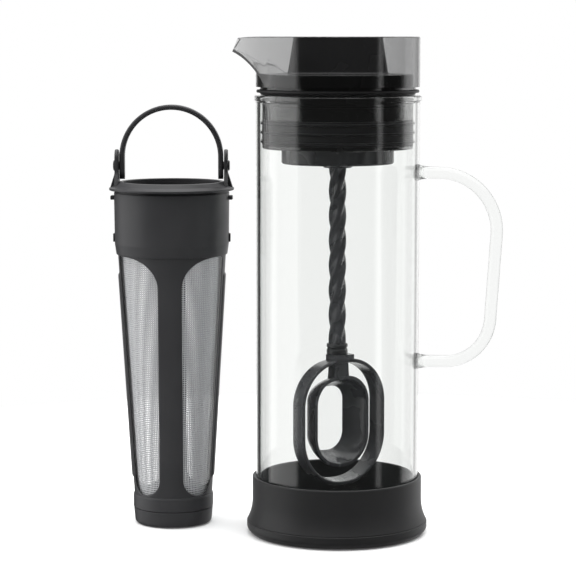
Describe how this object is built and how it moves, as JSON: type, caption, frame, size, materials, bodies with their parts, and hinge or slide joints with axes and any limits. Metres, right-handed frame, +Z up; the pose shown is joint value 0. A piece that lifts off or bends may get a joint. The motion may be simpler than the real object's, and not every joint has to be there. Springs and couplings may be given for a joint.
{
  "type": "cold brew coffee maker",
  "caption": "Tall glass carafe with a rod handle, silicone boot, pouring lid and twisted stirring wand, beside a tapered mesh filter basket with a bail.",
  "frame": {"origin": "centre of the carafe's foot, where the boot rests on the table", "axes": "+Z up along the carafe; the handle points along +X and the spout along -X; the filter basket stands on the table on the -X side"},
  "size_m": [0.2354, 0.1058, 0.29],
  "materials": {
    "clear_glass": "drawn borosilicate, fire-polished",
    "boot_silicone": "moulded silicone, satin",
    "smoke_plastic": "injection-moulded, smoke tint, polished",
    "seal_silicone": "moulded silicone",
    "black_plastic": "injection-moulded, fine satin",
    "screw_steel": "stainless",
    "wand_plastic": "injection-moulded, semi-gloss",
    "basket_plastic": "injection-moulded, fine matt grain",
    "woven_mesh": "fine woven filter mesh"
  },
  "bodies": {
    "carafe": {"carafe_glass": "clear_glass", "glass_handle": "clear_glass", "base_boot": "boot_silicone"},
    "lid": {"pour_collar": "smoke_plastic", "lid_skirt": "smoke_plastic", "rim_gasket": "seal_silicone", "fin_gasket": "seal_silicone"},
    "stopper": {"stopper_deck": "black_plastic", "stopper_grip": "black_plastic", "bayonet_socket": "black_plastic", "stopper_seal": "seal_silicone"},
    "wand": {"wand_adapter": "black_plastic", "wand_screw": "screw_steel", "wand_washer": "black_plastic", "wand_rod": "wand_plastic", "wand_ferrule": "black_plastic", "stir_paddle": "wand_plastic"},
    "basket": {"basket_frame": "basket_plastic", "mesh_sleeve": "woven_mesh", "basket_ring": "basket_plastic", "ring_seal": "seal_silicone"},
    "bail": {"basket_bail": "basket_plastic"},
    "cap": {"bottom_cap": "basket_plastic", "cap_seal": "seal_silicone"}
  },
  "joints": [
    {"name": "lid_lift", "type": "slide", "parent": "carafe", "child": "lid", "axis": [0, 0, 1], "range_m": [0, 0.235]},
    {"name": "stopper_turn", "type": "hinge", "parent": "lid", "child": "stopper", "pos_m": [0, 0, 0.265], "axis": [0, 0, 1], "continuous": true},
    {"name": "wand_twist", "type": "hinge", "parent": "stopper", "child": "wand", "pos_m": [0, 0, 0.231], "axis": [0, 0, 1], "range_deg": [-60, 0]},
    {"name": "basket_lift", "type": "slide", "parent": "carafe", "child": "basket", "axis": [0, 0, 1], "range_m": [0, 0.3]},
    {"name": "bail_swing", "type": "hinge", "parent": "basket", "child": "bail", "pos_m": [-0.1014, 0, 0.2142], "axis": [0.9636, 0.2672, 0], "range_deg": [-90, 90]},
    {"name": "cap_turn", "type": "hinge", "parent": "basket", "child": "cap", "pos_m": [-0.1014, 0, 0], "axis": [0, 0, 1], "range_deg": [0, 90]}
  ]
}
